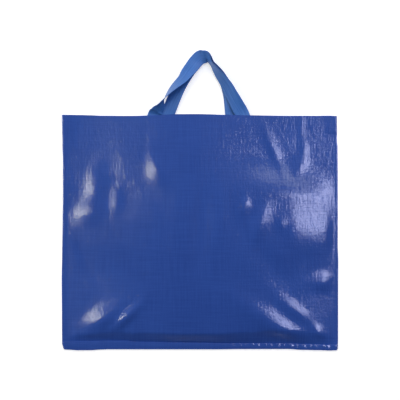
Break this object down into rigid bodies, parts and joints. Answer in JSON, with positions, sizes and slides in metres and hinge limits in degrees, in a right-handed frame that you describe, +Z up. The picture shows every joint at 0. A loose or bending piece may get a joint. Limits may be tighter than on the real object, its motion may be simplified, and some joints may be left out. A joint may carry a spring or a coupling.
{
  "type": "laminated polypropylene shopping bag",
  "caption": "Wide rectangular shopping bag of laminated woven polypropylene, open at the top, with two webbing strap handles, lying empty on its back panel.",
  "frame": {"origin": "on the floor, under the middle of the bag's overall outline, handles included", "axes": "+X across the bag to the right, +Y from the bottom seam towards the handles, +Z up from the floor, out of the front panel"},
  "size_m": [0.497, 0.5398, 0.0287],
  "materials": {
    "laminated_sheet": "glossy film over woven blue polypropylene tapes",
    "strap_webbing": "satin woven blue polypropylene webbing"
  },
  "bodies": {
    "root": {"bag_body": "laminated_sheet", "front_strap": "strap_webbing", "back_strap": "strap_webbing"}
  },
  "joints": []
}
